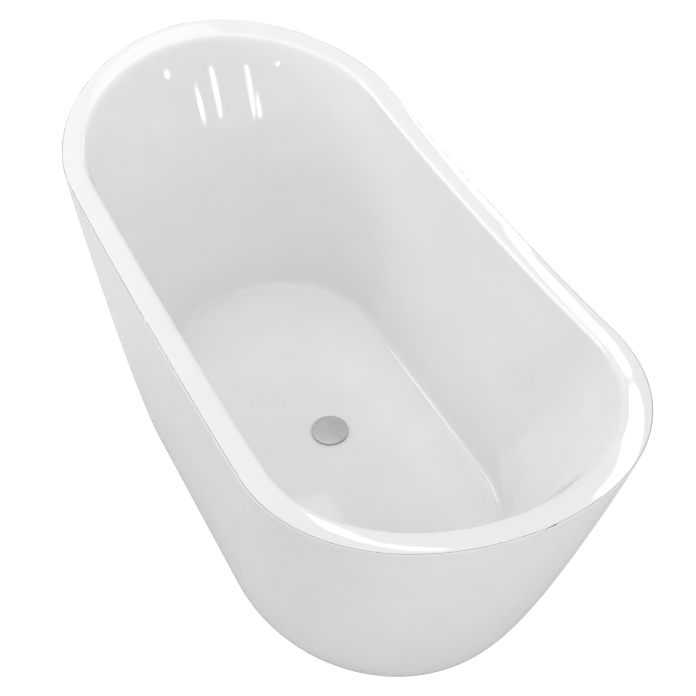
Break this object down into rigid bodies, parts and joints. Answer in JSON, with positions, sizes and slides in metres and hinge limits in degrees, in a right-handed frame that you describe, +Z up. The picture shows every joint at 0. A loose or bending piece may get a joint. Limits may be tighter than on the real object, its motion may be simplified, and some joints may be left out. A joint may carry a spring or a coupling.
{
  "type": "freestanding bathtub",
  "caption": "Freestanding oval bathtub, raised at both ends, with a centre drain, lift-up plug, overflow slot, outer skirt and levelling feet.",
  "frame": {"origin": "on the floor under the middle of the tub", "axes": "+X along the tub, +Z up, and the overflow slot is in the wall on the -Y side"},
  "size_m": [1.4978, 0.7264, 0.6863],
  "materials": {
    "acrylic": "high gloss white, sprayed glass-fibre and resin behind",
    "adhesive": "cured adhesive bead",
    "plywood": "unfinished board, resin coated",
    "coated_steel": "grey powder coat",
    "zinc_steel": "bright zinc plate",
    "pad_steel": "zinc plated, dull",
    "seal_rubber": "black rubber",
    "waste_brass": "machined brass",
    "satin_cover": "satin nickel grey",
    "fitting_plastic": "moulded white plastic",
    "hose_plastic": "grey corrugated hose"
  },
  "bodies": {
    "tub": {"base_board": "plywood", "basin_shell": "acrylic", "bracket_screws": "zinc_steel", "cross_member_foot": "coated_steel", "cross_member_foot_mid": "coated_steel", "cross_member_head": "coated_steel", "cross_member_head_mid": "coated_steel", "drain_flange": "waste_brass", "drain_gasket": "seal_rubber", "drain_locknut": "waste_brass", "drain_washer": "waste_brass", "foot_lock_nuts": "zinc_steel", "foot_sockets": "zinc_steel", "frame_rail_left": "coated_steel", "frame_rail_right": "coated_steel", "frame_screws": "zinc_steel", "hose_clamp_bottom": "zinc_steel", "hose_clamp_top": "zinc_steel", "outer_skirt": "acrylic", "overflow_box": "fitting_plastic", "overflow_gasket": "seal_rubber", "overflow_hose": "hose_plastic", "overflow_screws": "zinc_steel", "plug_guide": "waste_brass", "rim_bond_strip": "adhesive", "skirt_bracket_foot_left": "coated_steel", "skirt_bracket_foot_right": "coated_steel", "skirt_bracket_head_left": "coated_steel", "skirt_bracket_head_right": "coated_steel", "waste_tee": "fitting_plastic"},
    "plug": {"plug_cap": "satin_cover", "plug_seal": "seal_rubber", "plug_stem": "waste_brass"},
    "pad_head_left": {"foot_pad_head_left": "pad_steel"},
    "stem_head_left": {"foot_stem_head_left": "zinc_steel"},
    "pad_head_right": {"foot_pad_head_right": "pad_steel"},
    "stem_head_right": {"foot_stem_head_right": "zinc_steel"},
    "pad_foot_left": {"foot_pad_foot_left": "pad_steel"},
    "stem_foot_left": {"foot_stem_foot_left": "zinc_steel"},
    "pad_foot_right": {"foot_pad_foot_right": "pad_steel"},
    "stem_foot_right": {"foot_stem_foot_right": "zinc_steel"}
  },
  "joints": [
    {"name": "plug_lift", "type": "slide", "parent": "tub", "child": "plug", "axis": [0, 0, 1], "range_m": [0, 0.012]},
    {"name": "foot_travel_head_left", "type": "slide", "parent": "tub", "child": "pad_head_left", "axis": [0, 0, -1], "range_m": [0, 0.012]},
    {"name": "foot_turn_head_left", "type": "hinge", "parent": "pad_head_left", "child": "stem_head_left", "pos_m": [-0.34, -0.175, 0.03], "axis": [0, 0, -1], "range_deg": [0, 2470]},
    {"name": "foot_travel_head_right", "type": "slide", "parent": "tub", "child": "pad_head_right", "axis": [0, 0, -1], "range_m": [0, 0.012]},
    {"name": "foot_turn_head_right", "type": "hinge", "parent": "pad_head_right", "child": "stem_head_right", "pos_m": [-0.34, 0.175, 0.03], "axis": [0, 0, -1], "range_deg": [0, 2470]},
    {"name": "foot_travel_foot_left", "type": "slide", "parent": "tub", "child": "pad_foot_left", "axis": [0, 0, -1], "range_m": [0, 0.012]},
    {"name": "foot_turn_foot_left", "type": "hinge", "parent": "pad_foot_left", "child": "stem_foot_left", "pos_m": [0.34, -0.175, 0.03], "axis": [0, 0, -1], "range_deg": [0, 2470]},
    {"name": "foot_travel_foot_right", "type": "slide", "parent": "tub", "child": "pad_foot_right", "axis": [0, 0, -1], "range_m": [0, 0.012]},
    {"name": "foot_turn_foot_right", "type": "hinge", "parent": "pad_foot_right", "child": "stem_foot_right", "pos_m": [0.34, 0.175, 0.03], "axis": [0, 0, -1], "range_deg": [0, 2470]}
  ],
  "couplings": [
    {"joint": "foot_turn_head_left", "follows": "foot_travel_head_left", "rad_per_m": 3590.4},
    {"joint": "foot_turn_head_right", "follows": "foot_travel_head_right", "rad_per_m": 3590.4},
    {"joint": "foot_turn_foot_left", "follows": "foot_travel_foot_left", "rad_per_m": 3590.4},
    {"joint": "foot_turn_foot_right", "follows": "foot_travel_foot_right", "rad_per_m": 3590.4}
  ]
}
